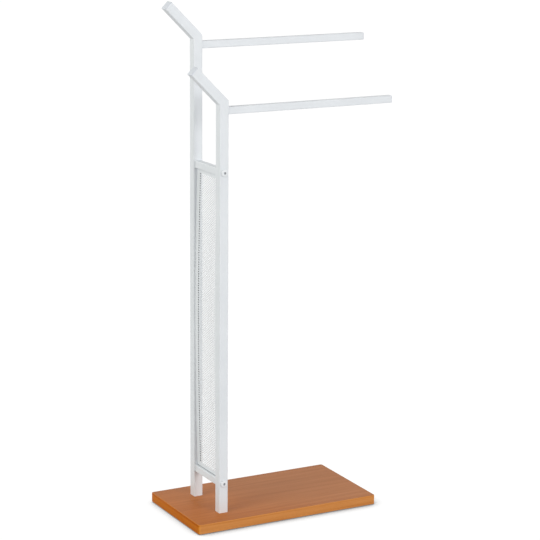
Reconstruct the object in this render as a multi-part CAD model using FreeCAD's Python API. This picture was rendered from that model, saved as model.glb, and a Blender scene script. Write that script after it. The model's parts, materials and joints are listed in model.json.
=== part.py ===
import FreeCAD, Part
import math
import os

from FreeCAD import Rotation, Vector

# Freestanding towel stand: two square-tube uprights on a wood-decor base board.
#
# Each upright is mitred at the top into a hook arm that leans back, and carries one
# cantilevered rail. A ladder panel, two crossbars with an expanded-metal sheet welded
# between them, is bolted between the uprights.
#
# Millimetres. +X runs along the rails, away from the hooks; +Y runs from the lower
# front upright to the taller rear one; +Z is up. The origin is on the floor, under the
# middle of the overall length and depth.

# Base board
BASE_LENGTH = 335.0
BASE_DEPTH = 186.0
BASE_THICKNESS = 16.0
BASE_CORNER_RADIUS = 4.0
BASE_CHAMFER = 1.0

# Pads under the board
PAD_DIAMETER = 18.0
PAD_THICKNESS = 1.2
PAD_INSET = 22.0

# Uprights and hook arms, one size of square tube
POST_SIDE = 16.0
POST_WALL = 1.2
POST_CORNER_RADIUS = 1.6
POST_SPACING = 95.0
POST_INSET = 64.0
FRONT_POST_HEIGHT = 690.0
REAR_POST_HEIGHT = 785.0
HOOK_ANGLE = 45.0
HOOK_LENGTH = 76.5

# Rails
RAIL_SIDE = 12.0
RAIL_WALL = 1.0
RAIL_CORNER_RADIUS = 1.2
RAIL_LENGTH = 303.0
RAIL_DROP = 16.5

# Push-in caps that close the free tube ends
CAP_FLANGE = 1.8
CAP_CHAMFER = 0.5
CAP_PLUG_LENGTH = 10.0
CAP_PLUG_WALL = 1.5
CAP_CLEARANCE = 0.1

# Ladder panel: crossbars and sheet
CROSSBAR_WIDTH = 12.0
CROSSBAR_WALL = 1.0
CROSSBAR_CORNER_RADIUS = 1.2
LOWER_CROSSBAR_HEIGHT = 50.5
UPPER_CROSSBAR_HEIGHT = 573.5
SHEET_THICKNESS = 0.6
SHEET_OFFSET = 1.5
SHEET_BOW = 4.5
SHEET_RUNS = 7
SHEET_SIDE_CLEARANCE = 1.0
SHEET_SIDE_MARGIN = 7.0
SHEET_END_MARGIN = 5.5

# Openings of the expanded metal, at their real pitch. They are drawn larger by one
# factor, strands included, so that the sheet stays light to handle.
MESH_LONG_WAY = 6.0
MESH_SHORT_WAY = 4.0
MESH_STRAND = 0.7
MESH_SCALE_FACTOR = 3.4

# Threaded blocks and bolts
BOLT_DIAMETER = 6.0
BOLT_HEAD_DIAMETER = 12.0
BOLT_HEAD_HEIGHT = 2.6
BOLT_FLAT_DIAMETER = 6.6
HEX_ACROSS_FLATS = 4.0
HEX_DEPTH = 1.8
BOLT_HOLE_CLEARANCE = 0.25
CROSSBAR_NUT_LENGTH = 14.0
FOOT_PLUG_LENGTH = 16.0
THREAD_ENGAGEMENT = 12.0
WASHER_DIAMETER = 18.0
WASHER_THICKNESS = 1.2
COUNTERBORE_CLEARANCE = 1.0
COUNTERBORE_DEPTH = 6.0

# Levels and places that follow from the sizes above
BOARD_BOTTOM = PAD_THICKNESS
BOARD_TOP = BOARD_BOTTOM + BASE_THICKNESS
RAIL_REACH = RAIL_LENGTH + CAP_FLANGE
OVERALL_LENGTH = max(BASE_LENGTH, POST_INSET + POST_SIDE / 2 + RAIL_REACH)
BASE_LEFT = -OVERALL_LENGTH / 2
BASE_CENTRE_X = BASE_LEFT + BASE_LENGTH / 2
POST_X = BASE_LEFT + POST_INSET
FRONT_POST_Y = -POST_SPACING / 2
REAR_POST_Y = POST_SPACING / 2
UPRIGHT_PLACES = {
    "front": (FRONT_POST_Y, FRONT_POST_HEIGHT),
    "rear": (REAR_POST_Y, REAR_POST_HEIGHT),
}
CROSSBAR_LENGTH = POST_SPACING - POST_SIDE
CROSSBAR_LEVELS = {
    "lower": BOARD_TOP + LOWER_CROSSBAR_HEIGHT,
    "upper": BOARD_TOP + UPPER_CROSSBAR_HEIGHT,
}
BOLT_RADIUS = BOLT_DIAMETER / 2
BOLT_HOLE_RADIUS = BOLT_RADIUS + BOLT_HOLE_CLEARANCE
MITRE_RISE = math.tan(math.radians(HOOK_ANGLE / 2))

UP = Vector(0, 0, 1)
ALONG_X = Rotation(UP, Vector(1, 0, 0))
ALONG_Y = Rotation(UP, Vector(0, 1, 0))
AGAINST_Y = Rotation(UP, Vector(0, -1, 0))
UPRIGHT = Rotation()
LEAN_BACK = Rotation(Vector(0, 1, 0), -HOOK_ANGLE)


def placed(shape, rotation, position):
    """Turn a shape about the origin, then carry the origin to a position."""
    moved = shape.copy()
    moved.Placement = FreeCAD.Placement(position, rotation).multiply(shape.Placement)
    return moved


def rounded_square(side, radius):
    """Closed outline in the XY plane, centred on the origin: four sides, four arcs."""
    half = side / 2
    inner = half - radius
    edges = []
    for quarter in range(4):
        turn = Rotation(UP, 90 * quarter)
        side_start = turn.multVec(Vector(half, -inner, 0))
        side_end = turn.multVec(Vector(half, inner, 0))
        diagonal = inner + radius * math.sqrt(0.5)
        arc_middle = turn.multVec(Vector(diagonal, diagonal, 0))
        arc_end = turn.multVec(Vector(inner, half, 0))
        edges.append(Part.LineSegment(side_start, side_end).toShape())
        edges.append(Part.Arc(side_end, arc_middle, arc_end).toShape())
    return Part.Wire(edges)


def rounded_bar(side, radius, length):
    """Square bar with rounded edges, from the origin up to its length."""
    return Part.Face(rounded_square(side, radius)).extrude(UP * length)


def sharp_bar(side, length):
    """Square bar with sharp edges, from the origin up to its length."""
    return Part.makeBox(side, side, length, Vector(-side / 2, -side / 2, 0))


def square_tube(side, wall, radius, length):
    """Square tube, rounded outside and sharp inside, from the origin up to its length."""
    return rounded_bar(side, radius, length).cut(sharp_bar(side - 2 * wall, length))


def hexagon_prism(across_flats, height):
    """Six-sided prism from the origin up."""
    corner = across_flats / math.sqrt(3)
    points = []
    for step in range(7):
        angle = math.radians(60 * step)
        points.append(Vector(corner * math.cos(angle), corner * math.sin(angle), 0))
    return Part.Face(Part.makePolygon(points)).extrude(UP * height)


def above_mitre(reach, corner_height):
    """Block over the mitre plane, which tilts by half the hook angle about Y and meets
    the upright's right face at the corner height."""
    block = Part.makeBox(2 * reach, 2 * POST_SIDE, reach, Vector(-reach, -POST_SIDE, 0))
    tilt = Rotation(Vector(0, 1, 0), -HOOK_ANGLE / 2)
    return placed(block, tilt, Vector(POST_SIDE / 2, 0, corner_height))


def base_board():
    """Board with rounded corners, chamfered top edges and two counterbored bolt holes."""
    board = Part.makeBox(
        BASE_LENGTH, BASE_DEPTH, BASE_THICKNESS, Vector(BASE_LEFT, -BASE_DEPTH / 2, BOARD_BOTTOM)
    )
    corners = [edge for edge in board.Edges if is_vertical(edge)]
    board = board.makeFillet(BASE_CORNER_RADIUS, corners)
    rim = [edge for edge in board.Edges if lies_at_level(edge, BOARD_TOP)]
    board = board.makeChamfer(BASE_CHAMFER, rim)
    for post_y, _ in UPRIGHT_PLACES.values():
        foot = Vector(POST_X, post_y, BOARD_BOTTOM)
        bolt_hole = Part.makeCylinder(BOLT_HOLE_RADIUS, BASE_THICKNESS, foot)
        counterbore_radius = WASHER_DIAMETER / 2 + COUNTERBORE_CLEARANCE
        counterbore = Part.makeCylinder(counterbore_radius, COUNTERBORE_DEPTH, foot)
        board = board.cut(bolt_hole.fuse(counterbore))
    return board


def is_vertical(edge):
    """True for an edge whose two ends stand one above the other."""
    start, end = edge.Vertexes[0].Point, edge.Vertexes[-1].Point
    return abs(start.x - end.x) < 1e-6 and abs(start.y - end.y) < 1e-6


def lies_at_level(edge, level):
    """True for an edge with all its corners at one height."""
    return all(abs(vertex.Z - level) < 1e-6 for vertex in edge.Vertexes)


def base_pads():
    """Four round pads under the board's corners."""
    reach_x = BASE_LENGTH / 2 - PAD_INSET
    reach_y = BASE_DEPTH / 2 - PAD_INSET
    pads = []
    for side_x in (-1, 1):
        for side_y in (-1, 1):
            centre = Vector(BASE_CENTRE_X + side_x * reach_x, side_y * reach_y, 0)
            pads.append(Part.makeCylinder(PAD_DIAMETER / 2, PAD_THICKNESS, centre))
    return Part.makeCompound(pads)


def post(post_y, height):
    """Upright tube on the board, mitred at the top, bored through at both crossbars."""
    tube = square_tube(POST_SIDE, POST_WALL, POST_CORNER_RADIUS, height)
    tube = tube.cut(above_mitre(2 * POST_SIDE, height))
    tube = placed(tube, UPRIGHT, Vector(POST_X, post_y, BOARD_TOP))
    for level in CROSSBAR_LEVELS.values():
        start = Vector(POST_X, post_y - POST_SIDE / 2, level)
        tube = tube.cut(Part.makeCylinder(BOLT_HOLE_RADIUS, POST_SIDE, start, Vector(0, 1, 0)))
    return tube


def hook_arm(post_y, height):
    """Tube that leans back from the post's mitre. Its upper edge is HOOK_LENGTH long."""
    shortfall = POST_SIDE / 2 * MITRE_RISE
    tube = square_tube(POST_SIDE, POST_WALL, POST_CORNER_RADIUS, HOOK_LENGTH + shortfall)
    tube.translate(UP * -2 * shortfall)
    tube = placed(tube, LEAN_BACK, Vector())
    tube = tube.common(above_mitre(2 * HOOK_LENGTH, shortfall))
    return placed(tube, UPRIGHT, mitre_centre(post_y, height))


def mitre_centre(post_y, height):
    """Point where the centre lines of an upright and its hook arm meet."""
    return Vector(POST_X, post_y, BOARD_TOP + height - POST_SIDE / 2 * MITRE_RISE)


def end_cap(side, wall, radius):
    """Cap for a tube end: chamfered flange from the origin up, hollow plug below it."""
    flange = rounded_bar(side, radius, CAP_FLANGE)
    rim = [edge for edge in flange.Edges if lies_at_level(edge, CAP_FLANGE)]
    flange = flange.makeChamfer(CAP_CHAMFER, rim)
    plug_side = side - 2 * wall - 2 * CAP_CLEARANCE
    plug = sharp_bar(plug_side, CAP_PLUG_LENGTH)
    plug = plug.cut(sharp_bar(plug_side - 2 * CAP_PLUG_WALL, CAP_PLUG_LENGTH))
    plug.translate(UP * -CAP_PLUG_LENGTH)
    return flange.fuse(plug).removeSplitter()


def hook_cap(post_y, height):
    """Cap on the free end of a hook arm."""
    arm_end = HOOK_LENGTH - POST_SIDE / 2 * MITRE_RISE
    position = mitre_centre(post_y, height) + LEAN_BACK.multVec(UP * arm_end)
    return placed(end_cap(POST_SIDE, POST_WALL, POST_CORNER_RADIUS), LEAN_BACK, position)


def rail(post_y, height):
    """Cantilevered tube, butted on the right face of its post."""
    tube = square_tube(RAIL_SIDE, RAIL_WALL, RAIL_CORNER_RADIUS, RAIL_LENGTH)
    return placed(tube, ALONG_X, rail_root(post_y, height))


def rail_root(post_y, height):
    """Point on the post's right face where a rail's centre line starts."""
    return Vector(POST_X + POST_SIDE / 2, post_y, BOARD_TOP + height - RAIL_DROP)


def rail_cap(post_y, height):
    """Cap on the free end of a rail."""
    position = rail_root(post_y, height) + Vector(RAIL_LENGTH, 0, 0)
    return placed(end_cap(RAIL_SIDE, RAIL_WALL, RAIL_CORNER_RADIUS), ALONG_X, position)


def crossbar(level):
    """Tube between the two posts at one level."""
    tube = square_tube(CROSSBAR_WIDTH, CROSSBAR_WALL, CROSSBAR_CORNER_RADIUS, CROSSBAR_LENGTH)
    return placed(tube, ALONG_Y, Vector(POST_X, -CROSSBAR_LENGTH / 2, level))


def threaded_block(tube_side, tube_wall, length):
    """Square block that fills a tube's bore, bored through for a bolt's thread."""
    block = sharp_bar(tube_side - 2 * tube_wall, length)
    return block.cut(Part.makeCylinder(BOLT_RADIUS, length))


def crossbar_nuts():
    """Four threaded blocks, flush with the crossbars' ends."""
    block = threaded_block(CROSSBAR_WIDTH, CROSSBAR_WALL, CROSSBAR_NUT_LENGTH)
    nuts = []
    for level in CROSSBAR_LEVELS.values():
        nuts.append(placed(block, ALONG_Y, Vector(POST_X, -CROSSBAR_LENGTH / 2, level)))
        nuts.append(placed(block, AGAINST_Y, Vector(POST_X, CROSSBAR_LENGTH / 2, level)))
    return Part.makeCompound(nuts)


def foot_plug(post_y):
    """Threaded block, flush with the lower end of a post."""
    block = threaded_block(POST_SIDE, POST_WALL, FOOT_PLUG_LENGTH)
    return placed(block, UPRIGHT, Vector(POST_X, post_y, BOARD_TOP))


def bolt(shank_length):
    """Button-head bolt with a hexagon socket: the head below the origin, the shank above.
    The head is a low cone up to the flat that the socket is cut in."""
    outline = Part.makePolygon([
        Vector(0, 0, -BOLT_HEAD_HEIGHT),
        Vector(BOLT_FLAT_DIAMETER / 2, 0, -BOLT_HEAD_HEIGHT),
        Vector(BOLT_HEAD_DIAMETER / 2, 0, 0),
        Vector(BOLT_RADIUS, 0, 0),
        Vector(BOLT_RADIUS, 0, shank_length),
        Vector(0, 0, shank_length),
        Vector(0, 0, -BOLT_HEAD_HEIGHT),
    ])
    body = Part.Face(outline).revolve(Vector(), UP, 360)
    socket = hexagon_prism(HEX_ACROSS_FLATS, HEX_DEPTH)
    socket.translate(UP * -BOLT_HEAD_HEIGHT)
    return body.cut(socket)


def panel_bolts():
    """Four bolts, through the posts into the crossbars' threaded ends."""
    screw = bolt(POST_SIDE + THREAD_ENGAGEMENT)
    outer_y = POST_SPACING / 2 + POST_SIDE / 2
    bolts = []
    for level in CROSSBAR_LEVELS.values():
        bolts.append(placed(screw, ALONG_Y, Vector(POST_X, -outer_y, level)))
        bolts.append(placed(screw, AGAINST_Y, Vector(POST_X, outer_y, level)))
    return Part.makeCompound(bolts)


def base_bolts():
    """Two bolts from the board's counterbores up into the foot plugs."""
    grip = WASHER_THICKNESS + BASE_THICKNESS - COUNTERBORE_DEPTH
    screw = bolt(grip + THREAD_ENGAGEMENT)
    seat = BOARD_BOTTOM + COUNTERBORE_DEPTH - WASHER_THICKNESS
    bolts = []
    for post_y, _ in UPRIGHT_PLACES.values():
        bolts.append(placed(screw, UPRIGHT, Vector(POST_X, post_y, seat)))
    return Part.makeCompound(bolts)


def base_washers():
    """Washers between the base bolts' heads and the board."""
    disc = Part.makeCylinder(WASHER_DIAMETER / 2, WASHER_THICKNESS)
    washer = disc.cut(Part.makeCylinder(BOLT_HOLE_RADIUS, WASHER_THICKNESS))
    seat = BOARD_BOTTOM + COUNTERBORE_DEPTH - WASHER_THICKNESS
    washers = []
    for post_y, _ in UPRIGHT_PLACES.values():
        washers.append(placed(washer, UPRIGHT, Vector(POST_X, post_y, seat)))
    return Part.makeCompound(washers)


def sheet_bow(level, bottom, top):
    """How far the sheet stands out to -X at a level: a parabola, nothing at both ends."""
    from_middle = (2 * level - bottom - top) / (top - bottom)
    return SHEET_BOW * (1 - from_middle ** 2)


def sheet_blank(bottom, top, width):
    """Plain sheet between the crossbars: a thin profile in the XZ plane, in straight runs
    between points on the bow, drawn out across the width between the posts."""
    left = POST_X - SHEET_OFFSET - SHEET_THICKNESS / 2
    left_side = []
    right_side = []
    for step in range(SHEET_RUNS + 1):
        level = bottom + (top - bottom) * step / SHEET_RUNS
        face_x = left - sheet_bow(level, bottom, top)
        left_side.append(Vector(face_x, -width / 2, level))
        right_side.append(Vector(face_x + SHEET_THICKNESS, -width / 2, level))
    profile = Part.makePolygon(left_side + right_side[::-1] + left_side[:1])
    return Part.Face(profile).extrude(Vector(0, width, 0))


def mesh_panel():
    """Expanded-metal sheet: staggered diamond openings inside plain margins. The strands
    lie along the lattice lines, so each opening is the lattice cell shrunk by one strand
    over the distance between neighbouring lattice lines."""
    bottom = CROSSBAR_LEVELS["lower"] + CROSSBAR_WIDTH / 2
    top = CROSSBAR_LEVELS["upper"] - CROSSBAR_WIDTH / 2
    width = CROSSBAR_LENGTH - 2 * SHEET_SIDE_CLEARANCE
    half_cell_y = MESH_SCALE_FACTOR * MESH_LONG_WAY / 2
    half_cell_z = MESH_SCALE_FACTOR * MESH_SHORT_WAY / 2
    line_distance = 2 * half_cell_y * half_cell_z / math.hypot(half_cell_y, half_cell_z)
    shrink = 1 - MESH_SCALE_FACTOR * MESH_STRAND / line_distance
    columns = int((width - 2 * SHEET_SIDE_MARGIN) / half_cell_y) - 1
    rows = int((top - bottom - 2 * SHEET_END_MARGIN) / half_cell_z) - 1
    start = Vector(
        POST_X - SHEET_OFFSET - 2 * (SHEET_BOW + SHEET_THICKNESS),
        -(columns - 1) * half_cell_y / 2,
        (bottom + top - (rows - 1) * half_cell_z) / 2,
    )
    through = Vector(2 * (POST_X - SHEET_OFFSET - start.x), 0, 0)
    diamond = diamond_face(shrink * half_cell_y, shrink * half_cell_z).extrude(through)
    openings = []
    for row in range(rows):
        for column in range(row % 2, columns, 2):
            step = Vector(0, column * half_cell_y, row * half_cell_z)
            openings.append(placed(diamond, UPRIGHT, start + step))
    return sheet_blank(bottom, top, width).cut(Part.makeCompound(openings))


def diamond_face(half_width, half_height):
    """Diamond in the YZ plane, centred on the origin."""
    return Part.Face(Part.makePolygon([
        Vector(0, -half_width, 0),
        Vector(0, 0, -half_height),
        Vector(0, half_width, 0),
        Vector(0, 0, half_height),
        Vector(0, -half_width, 0),
    ]))


def build_parts():
    """Every piece by its node name."""
    parts = {
        "base_board": base_board(),
        "base_pads": base_pads(),
        "mesh_panel": mesh_panel(),
        "crossbar_nuts": crossbar_nuts(),
        "panel_bolts": panel_bolts(),
        "base_bolts": base_bolts(),
        "base_washers": base_washers(),
    }
    for place, (post_y, height) in UPRIGHT_PLACES.items():
        parts[place + "_post"] = post(post_y, height)
        parts[place + "_foot_plug"] = foot_plug(post_y)
        parts[place + "_hook_arm"] = hook_arm(post_y, height)
        parts[place + "_hook_cap"] = hook_cap(post_y, height)
        parts[place + "_rail"] = rail(post_y, height)
        parts[place + "_rail_cap"] = rail_cap(post_y, height)
    for place, level in CROSSBAR_LEVELS.items():
        parts[place + "_crossbar"] = crossbar(level)
    return parts


def main():
    """Write one STEP file per piece."""
    os.makedirs("parts", exist_ok=True)
    for name, shape in build_parts().items():
        shape.exportStep("parts/" + name + ".step")


main()
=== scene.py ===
import json
import math

import bmesh
import bpy
import numpy as np
from mathutils import Matrix, Vector


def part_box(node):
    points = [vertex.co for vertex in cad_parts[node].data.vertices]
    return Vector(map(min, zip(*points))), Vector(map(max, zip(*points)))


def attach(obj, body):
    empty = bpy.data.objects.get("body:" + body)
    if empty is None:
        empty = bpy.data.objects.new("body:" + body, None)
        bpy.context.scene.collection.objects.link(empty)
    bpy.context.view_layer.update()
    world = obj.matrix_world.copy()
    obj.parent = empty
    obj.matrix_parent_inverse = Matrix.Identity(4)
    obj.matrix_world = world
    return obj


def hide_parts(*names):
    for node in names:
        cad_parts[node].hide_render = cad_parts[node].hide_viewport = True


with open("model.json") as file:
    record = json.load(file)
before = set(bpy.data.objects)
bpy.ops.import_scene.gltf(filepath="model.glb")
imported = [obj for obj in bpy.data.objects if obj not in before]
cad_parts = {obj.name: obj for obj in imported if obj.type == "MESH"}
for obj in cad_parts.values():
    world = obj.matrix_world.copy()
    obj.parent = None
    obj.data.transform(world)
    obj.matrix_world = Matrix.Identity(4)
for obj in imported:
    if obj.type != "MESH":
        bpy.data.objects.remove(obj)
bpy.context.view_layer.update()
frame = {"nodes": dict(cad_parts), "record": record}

# Freestanding towel stand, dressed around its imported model. Metres, in the model's frame:
# +X runs along the rails, +Y from the front upright to the rear one, +Z is up.

MM = 0.001

# Camera: place and angles of the photograph's view
CAMERA_PLACE = (-1.55927, -2.89669, 1.16668)
CAMERA_YAW = 28.13
CAMERA_PITCH = 12.995
CAMERA_ROLL = 0.428
FOCAL_PIXELS = 2018.84
PICTURE_PIXELS = 540
SENSOR_WIDTH = 36.0

# Fineness: steps of a quarter circle and of a small rounded edge, sides of what is turned
QUARTER_STEPS = 8
EDGE_STEPS = 5
ROUND_SIDES = 48
ROUND_ANGLES = np.arange(ROUND_SIDES) * 2 * np.pi / ROUND_SIDES

# Share of an outline's corner radius that is kept however far the outline is drawn in
LEAST_CORNER = 0.05

# Tubes and caps
POST_CORNER = 1.6 * MM
RAIL_CORNER = 1.2 * MM
HOOK_LEAN = math.radians(45)
CAP_FLANGE = 1.8 * MM
CAP_ROUND = 1.0 * MM
CAP_DOME = 0.2 * MM
CAP_DOME_STEPS = 6
CAP_DOME_REACH = 0.98
CAP_PLUG = 10 * MM
CAP_PLUG_GAP = 1.3 * MM

# Bolts
BOLT_HEAD_RADIUS = 6.0 * MM
BOLT_FLAT_RADIUS = 3.1 * MM
BOLT_HEIGHT = 2.6 * MM
BOLT_RIM = 1.7 * MM
BOLT_UNDERCUT = 0.45 * MM
BOLT_UNDERCUT_TOP = 0.72 * MM
BOLT_SHANK_RADIUS = 3.0 * MM
BOLT_LENGTH = 28 * MM
BOLT_TIP_RADIUS = 2.1 * MM
BOLT_TIP_LENGTH = 0.8 * MM
HEX_APOTHEM = 1.9 * MM
HEX_CHAMFER = 0.15 * MM
HEX_DEPTH = 1.8 * MM
HEX_CONE = 0.5 * MM
HEX_CONE_TIP = 0.02

# Expanded-metal sheet
SHEET_THICKNESS = 0.5 * MM
FRONT_MARGIN = 5.2 * MM
REAR_MARGIN = 8.8 * MM
BOTTOM_MARGIN = 7.0 * MM
TOP_MARGIN = 6.0 * MM
# SEAM_HEIGHT: the strip at the sheet's foot, on the crossbar, that carries painted shade
SEAM_HEIGHT = 1.2 * MM
MESH_LONG_WAY = 6.0 * MM
MESH_SHORT_WAY = 4.0 * MM
MESH_STRAND = 0.71 * MM
MESH_TILT = 0.1 * MM
MESH_CORNERS = 8
MESH_POINT = 0.97
MESH_BULGE = 1.07
FLAT_AREA = 1e-12

# Board
BOARD_CORNER = 4.0 * MM
BOARD_EASE = 0.96 * MM
BAND_THICKNESS = 1.0 * MM
BAND_JOINT = 0.15 * MM
COUNTERBORE_RADIUS = 10.0 * MM
COUNTERBORE_DEPTH = 6.0 * MM
BOLT_HOLE_RADIUS = 3.25 * MM

# Where the edge band's print starts on the short sides and, on top of that, on the right
# and rear sides, in half lengths of the board
SHORT_SIDE_START = 3
FAR_SIDE_START = 5

# Welds
WELD_RISE = 0.495 * MM
WELD_HALF_WIDTH = 0.825 * MM
WELD_OFFSET = 0.1 * MM
WELD_SINK = 0.5
WELD_RIPPLE = 1.3 * MM
WELD_RIPPLE_SHARE = 0.18
WELD_SPACING = 0.3 * MM
WELD_POINTS = 7


# ---------------------------------------------------------------- shader expressions


class Signal:
    """A value that changes over a surface. It wraps a socket, and arithmetic on it adds
    Math nodes to the graph that it belongs to."""

    def __init__(self, graph, socket):
        self.graph = graph
        self.socket = socket

    def math(self, operation, *operands):
        made = self.graph.node("Math", {"operation": operation}, dict(enumerate(operands)))
        return Signal(self.graph, made.outputs[0])

    def __add__(self, other):
        return self.math("ADD", self, other)

    def __radd__(self, other):
        return self.math("ADD", other, self)

    def __sub__(self, other):
        return self.math("SUBTRACT", self, other)

    def __rsub__(self, other):
        return self.math("SUBTRACT", other, self)

    def __mul__(self, other):
        return self.math("MULTIPLY", self, other)

    def __rmul__(self, other):
        return self.math("MULTIPLY", other, self)

    def __pow__(self, other):
        return self.math("POWER", self, other)

    def absolute(self):
        return self.math("ABSOLUTE", self)

    def larger(self, other):
        return self.math("MAXIMUM", self, other)

    def step(self, low, high):
        """0 up to low, 1 from high, and a smooth rise between them."""
        settings = {"interpolation_type": "SMOOTHSTEP"}
        values = {"Value": self, "From Min": low, "From Max": high}
        made = self.graph.node("MapRange", settings, values)
        return Signal(self.graph, made.outputs["Result"])


class Graph:
    """The nodes of a material or of the surround, all added by one method."""

    def __init__(self, owner):
        owner.use_nodes = True
        self.tree = owner.node_tree
        self.tree.nodes.clear()

    def node(self, kind, settings, values):
        """Adds a node: its type, its settings, then its sockets' values or links."""
        made = self.tree.nodes.new("ShaderNode" + kind)
        for name, value in settings.items():
            if name == "stops":
                self.fill_ramp(made.color_ramp, value)
            else:
                setattr(made, name, value)
        for name, value in values.items():
            self.plug(self.socket(made.inputs, name), value)
        return made

    def socket(self, sockets, name):
        """A socket by its number, identifier or label."""
        if isinstance(name, int):
            return sockets[name]
        named = [socket for socket in sockets if socket.identifier == name]
        return named[0] if named else sockets[name]

    def plug(self, socket, value):
        """Links a signal or another node's socket, or sets a constant."""
        if isinstance(value, Signal):
            self.tree.links.new(value.socket, socket)
        elif isinstance(value, bpy.types.NodeSocket):
            self.tree.links.new(value, socket)
        else:
            socket.default_value = value

    def fill_ramp(self, ramp, stops):
        while len(ramp.elements) < len(stops):
            ramp.elements.new(0.5)
        for element, (place, colour) in zip(ramp.elements, stops):
            element.position = place
            element.color = (*colour, 1)

    def places(self):
        """Object coordinates."""
        return self.node("TexCoord", {}, {}).outputs["Object"]

    def unrolled(self):
        """The piece's own UV map, in metres."""
        return self.node("UVMap", {"uv_map": "unrolled"}, {}).outputs["UV"]

    def stretched(self, places, scale):
        """Places with each part multiplied. A small factor draws a pattern out that way."""
        return self.node("Mapping", {}, {"Vector": places, "Scale": scale}).outputs[0]

    def axes(self, vector):
        """The three parts of a vector, as signals."""
        made = self.node("SeparateXYZ", {}, {"Vector": vector})
        return [Signal(self, output) for output in made.outputs]

    def facing(self):
        """The three parts of the surface's direction, in the object's frame."""
        return self.axes(self.node("TexCoord", {}, {}).outputs["Normal"])

    def noise(self, places, size, detail, roughness=0.5, distortion=0.0):
        """Cloudy noise from 0 to 1, whose blobs are about that size."""
        values = {"Vector": places, "Scale": 1 / size, "Detail": detail}
        values.update({"Roughness": roughness, "Distortion": distortion})
        made = self.node("TexNoise", {"noise_dimensions": "3D"}, values)
        return Signal(self, made.outputs["Fac"])

    def cells(self, places, size):
        """Distance to the middle of the nearest of scattered cells about that size."""
        made = self.node("TexVoronoi", {"feature": "F1"}, {"Vector": places, "Scale": 1 / size})
        return Signal(self, made.outputs["Distance"])

    def blend(self, factor, first, second, mode="MIX"):
        """Goes from the first colour, at 0, to the second, or to what the mode makes of both."""
        values = {"Factor_Float": factor, "A_Color": opaque(first), "B_Color": opaque(second)}
        made = self.node("Mix", {"data_type": "RGBA", "blend_type": mode}, values)
        return Signal(self, self.socket(made.outputs, "Result_Color"))

    def ramp(self, factor, stops):
        """Colours along a scale from 0 to 1."""
        made = self.node("ValToRGB", {"stops": stops}, {"Fac": factor})
        return Signal(self, made.outputs["Color"])

    def relief(self, height, depth):
        """Bump normal: height from 0 to 1 stands for that depth in metres."""
        return self.node("Bump", {}, {"Height": height, "Distance": depth}).outputs["Normal"]

    def seen_directly(self):
        """1 for what the camera, a reflection or a clear piece shows; 0 for what only lights."""
        rays = self.node("LightPath", {}, {}).outputs
        camera, glossy, clear = [
            Signal(self, rays[f"Is {kind} Ray"]) for kind in ("Camera", "Glossy", "Transmission")
        ]
        return camera.larger(glossy).larger(clear)


class Finish(Graph):
    """A material with one Principled shader, whose sockets take constants or signals."""

    def __init__(self, name, **sockets):
        self.material = bpy.data.materials.new(name)
        super().__init__(self.material)
        self.shader = self.node("BsdfPrincipled", {}, {})
        self.node("OutputMaterial", {}, {"Surface": self.shader.outputs["BSDF"]})
        self.feed(**sockets)

    def feed(self, **sockets):
        """Feeds the shader's own sockets. An underscore in a name stands for a space."""
        for name, value in sockets.items():
            self.plug(self.shader.inputs[name.replace("_", " ")], value)


def opaque(colour):
    """A colour constant with its alpha; a signal stays as it is."""
    return (*colour, 1) if isinstance(colour, tuple) and len(colour) == 3 else colour


# ---------------------------------------------------------------- finishes

# Powder coat, where it is thick and thin, and the sizes of its marks
COAT_WHITE = (0.752, 0.778, 0.806)
COAT_THIN = (0.715, 0.742, 0.772)
SHEET_WHITE = (0.770, 0.795, 0.820)
BOLT_WHITE = (0.770, 0.790, 0.810)
# Dark greys of the painted shade in the sheet's closed last column and its foot seam
SHADE_PAINT_PALE = (0.30, 0.31, 0.33)
SHADE_PAINT_DARK = (0.20, 0.21, 0.22)
COAT_CLOUD = 45 * MM
COAT_PEEL = 0.9 * MM
COAT_GRAIN = 0.22 * MM
COAT_RELIEF = 0.016 * MM

# Plastic of the caps
CAP_WHITE = (0.655, 0.685, 0.730)
CAP_SHADE = (0.610, 0.640, 0.695)
CAP_CLOUD = 12 * MM
CAP_GRAIN = 0.18 * MM
CAP_RELIEF = 0.012 * MM

# Steel of the bolts' sockets, and zinc
SOCKET_STEEL = (0.34, 0.35, 0.37)
SOCKET_DARK = (0.18, 0.19, 0.20)
SOCKET_STREAK = 0.4 * MM
ZINC = (0.55, 0.56, 0.56)
ZINC_DARK = (0.38, 0.38, 0.37)
ZINC_SPANGLE = 1.6 * MM
ZINC_MARK = 0.5 * MM
ZINC_MARKS_LIE = (1, 1, 9)
METAL_RELIEF = 0.010 * MM

# Foam of the pads
PAD_GREY = (0.055, 0.055, 0.058)
PAD_PORE_GREY = (0.03, 0.03, 0.032)
PAD_PORE = 0.7 * MM
PAD_RELIEF = 0.12 * MM

# Printed beech: sizes of its marks, and how they are drawn out along the grain
BEECH_BAND = 16 * MM
BEECH_VEIN = 3.2 * MM
BEECH_FIBRE = 0.55 * MM
BEECH_FLECK = 1.5 * MM
BEECH_FLECK_PATCH = 9 * MM
BEECH_LONG = (0.035, 1, 1)
BEECH_SHORT = (0.10, 1, 1)
BEECH_FLECK_LONG = (0.16, 1, 1)
BEECH_RELIEF = 0.020 * MM

# The board's foil, and its painted sheen: a tint that makes the front left more orange, so the
# rest reads paler, as if it reflected more light
FOIL_PALE = (0.523, 0.199, 0.064)
FOIL_MID = (0.464, 0.168, 0.051)
FOIL_DARK = (0.386, 0.130, 0.037)
FOIL_SHEEN_PAINT_TINT = (1.03, 0.84, 0.35)
FOIL_SHEEN_PAINT_FROM = 60 * MM
FOIL_SHEEN_PAINT_TO = -250 * MM
FOIL_SHEEN_PAINT_SLANT = 0.9

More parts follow.
